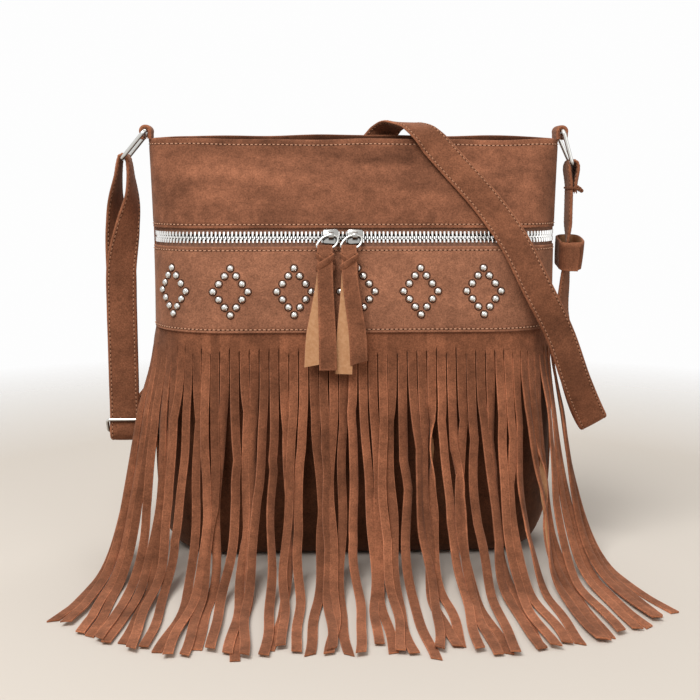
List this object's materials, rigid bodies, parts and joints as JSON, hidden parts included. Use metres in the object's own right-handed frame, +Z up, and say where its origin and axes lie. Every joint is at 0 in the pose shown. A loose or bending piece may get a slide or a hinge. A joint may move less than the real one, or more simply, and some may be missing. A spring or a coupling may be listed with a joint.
{
  "type": "fringed shoulder bag",
  "caption": "Suede shoulder bag with a zipped front pocket, a band of diamond studs, a deep fringe that lies out over the floor, pull tassels and a long flat strap on wire rings.",
  "frame": {"origin": "on the floor, under the middle of the base, in the plane of the side seams", "axes": "+X along the bag's width, -Y to the front with the zip and the fringe, +Z up"},
  "size_m": [0.4008, 0.2945, 0.3178],
  "materials": {
    "suede": "napped suede",
    "lining": "plain woven lining",
    "zip_tape": "woven tape",
    "nickel": "polished nickel"
  },
  "bodies": {
    "bag": {"front_yoke": "suede", "stud_band": "suede", "front_panel": "suede", "back_panel": "suede", "base_panel": "suede", "rim_facing": "suede", "fringe": "suede", "ring_tab_left": "suede", "ring_tab_right": "suede", "shoulder_strap": "suede", "strap_keeper": "suede", "lining": "lining", "pocket_bag": "lining", "zip_tape_upper": "zip_tape", "zip_tape_lower": "zip_tape", "zip_teeth_upper": "nickel", "zip_teeth_lower": "nickel", "strap_slide": "nickel"},
    "slider_left": {"zip_slider_left": "nickel"},
    "slider_right": {"zip_slider_right": "nickel"},
    "pull_left": {"zip_pull_left": "nickel", "tassel_left": "suede"},
    "pull_right": {"zip_pull_right": "nickel", "tassel_right": "suede"},
    "ring_left": {"strap_ring_left": "nickel"},
    "ring_right": {"strap_ring_right": "nickel"}
  },
  "joints": [
    {"name": "slide_left", "type": "slide", "parent": "bag", "child": "slider_left", "axis": [-1, 0, 0], "range_m": [0, 0.072]},
    {"name": "slide_right", "type": "slide", "parent": "bag", "child": "slider_right", "axis": [1, 0, 0], "range_m": [0, 0.08]},
    {"name": "pull_left_swing", "type": "hinge", "parent": "slider_left", "child": "pull_left", "pos_m": [-0.0185, -0.04461, 0.23506], "axis": [-1, 0, 0], "range_deg": [0, 110]},
    {"name": "pull_right_swing", "type": "hinge", "parent": "slider_right", "child": "pull_right", "pos_m": [-0.0015, -0.04461, 0.23506], "axis": [-1, 0, 0], "range_deg": [0, 110]},
    {"name": "ring_left_swing", "type": "hinge", "parent": "bag", "child": "ring_left", "pos_m": [-0.1525, 0, 0.3093], "axis": [0, 1, 0], "range_deg": [-20, 25], "deforming": ["shoulder_strap"]},
    {"name": "ring_right_swing", "type": "hinge", "parent": "bag", "child": "ring_right", "pos_m": [0.1525, 0, 0.3093], "axis": [0, -1, 0], "range_deg": [-15, 25], "deforming": ["shoulder_strap"]}
  ]
}
